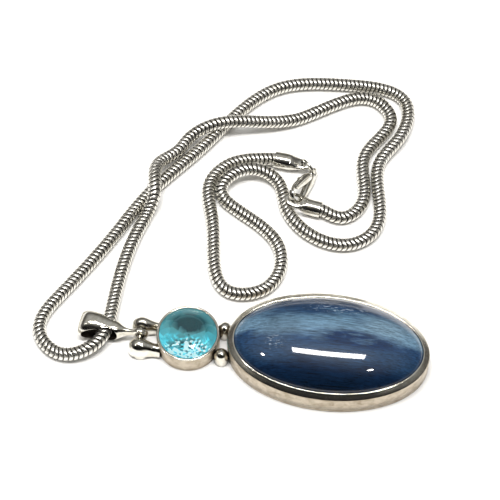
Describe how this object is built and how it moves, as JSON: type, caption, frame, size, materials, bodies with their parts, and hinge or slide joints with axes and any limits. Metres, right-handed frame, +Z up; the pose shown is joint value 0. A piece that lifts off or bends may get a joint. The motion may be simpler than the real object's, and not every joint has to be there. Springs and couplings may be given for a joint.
{
  "type": "pendant necklace",
  "caption": "Silver pendant with a round faceted stone and a long oval cabochon, hinged to a bail on a round snake chain with a lobster clasp.",
  "frame": {"origin": "under the middle of the pendant, on the surface that it lies on", "axes": "+X along the pendant from the bail to the oval stone, +Y across it towards the chain's loops, +Z up out of the stones' faces"},
  "size_m": [0.0813, 0.0817, 0.0104],
  "materials": {
    "polished_silver": "polished sterling silver, satin on the bezel walls",
    "plain_silver": "plain sterling silver, brushed",
    "chain_silver": "sterling silver snake chain, darkened in its gaps",
    "topaz": "clear faceted blue topaz",
    "kyanite": "polished blue kyanite with a silky sheen",
    "spring_steel": "plain spring steel"
  },
  "bodies": {
    "chain": {"snake_chain": "chain_silver", "end_cap_clasp_side": "polished_silver", "end_cap_loop_side": "polished_silver"},
    "bail": {"bail": "polished_silver"},
    "pendant": {"hinge_pin": "plain_silver", "hinge_lug_right": "polished_silver", "hinge_lug_left": "polished_silver", "round_backplate": "plain_silver", "round_bezel": "polished_silver", "round_topaz": "topaz", "stone_seat_ring": "plain_silver", "link_post_right": "polished_silver", "link_post_left": "polished_silver", "oval_backplate": "plain_silver", "oval_bezel": "polished_silver", "oval_kyanite_cabochon": "kyanite"},
    "jump_ring": {"jump_ring": "polished_silver"},
    "clasp": {"clasp_body": "polished_silver", "trigger_rivet": "plain_silver", "trigger_spring": "spring_steel"},
    "trigger": {"clasp_trigger": "polished_silver"}
  },
  "joints": [
    {"name": "bail_on_chain", "type": "hinge", "parent": "chain", "child": "bail", "pos_m": [-0.0306, 0.0002, 0.0025], "axis": [0.2, 0.9798, 0], "range_deg": [-60, 60]},
    {"name": "pendant_hinge", "type": "hinge", "parent": "bail", "child": "pendant", "pos_m": [-0.023, -0.00045, 0.00275], "axis": [0, 1, 0], "range_deg": [-120, 115]},
    {"name": "jump_ring_swing", "type": "hinge", "parent": "chain", "child": "jump_ring", "pos_m": [0.00618, 0.04565, 0.00172], "axis": [0, 0, 1], "range_deg": [-7, 7]},
    {"name": "clasp_swing", "type": "hinge", "parent": "jump_ring", "child": "clasp", "pos_m": [0.00812, 0.04371, 0.00149], "axis": [0, 0, 1], "range_deg": [-9.5, 9.5]},
    {"name": "trigger_press", "type": "hinge", "parent": "clasp", "child": "trigger", "pos_m": [0.007, 0.04209, 0.00281], "axis": [0.8668, -0.2492, 0.4319], "range_deg": [0, 10], "stiffness_Nm_per_rad": 0.002, "springref_deg": -5.73, "deforming": ["trigger_spring"]}
  ],
  "couplings": [
    {"joint": "clasp_swing", "follows": "jump_ring_swing", "ratio": -1.3}
  ]
}
